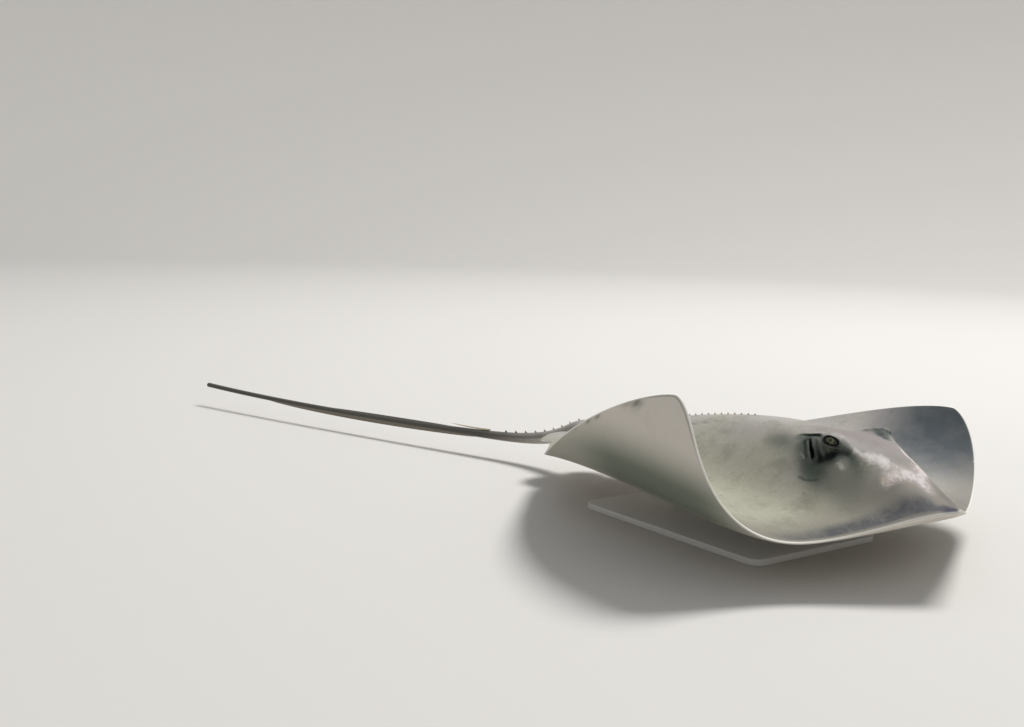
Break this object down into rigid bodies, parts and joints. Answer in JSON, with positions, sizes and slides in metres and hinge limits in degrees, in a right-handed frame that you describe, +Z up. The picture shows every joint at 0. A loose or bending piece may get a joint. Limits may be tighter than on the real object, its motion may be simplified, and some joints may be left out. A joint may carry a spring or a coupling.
{
  "type": "southern stingray display model",
  "caption": "Life-size stingray gliding with both wing-like pectoral fins curled up, raised eyes and a long thin tail, held over a flat base by two short rods.",
  "frame": {"origin": "centre of the underside of the stand's base", "axes": "+X toward the snout, +Y the ray's left, +Z up"},
  "size_m": [1.997, 0.8253, 0.3012],
  "materials": {
    "skin": "satin, wet-looking olive-grey above and white below",
    "eye": "polished",
    "sting": "satin bone",
    "stand_paint": "fine powder coat",
    "stand_steel": "brushed"
  },
  "bodies": {
    "root": {"head": "skin", "trunk": "skin", "fin_pectoral_left": "skin", "fin_pectoral_right": "skin", "fin_pelvic_left": "skin", "fin_pelvic_right": "skin", "eye_left": "eye", "eye_right": "eye", "tail_base": "skin", "tail_middle": "skin", "tail_end": "skin", "tail_sting": "sting", "stand_base": "stand_paint", "stand_rod_front": "stand_steel", "stand_rod_rear": "stand_steel"}
  },
  "joints": []
}
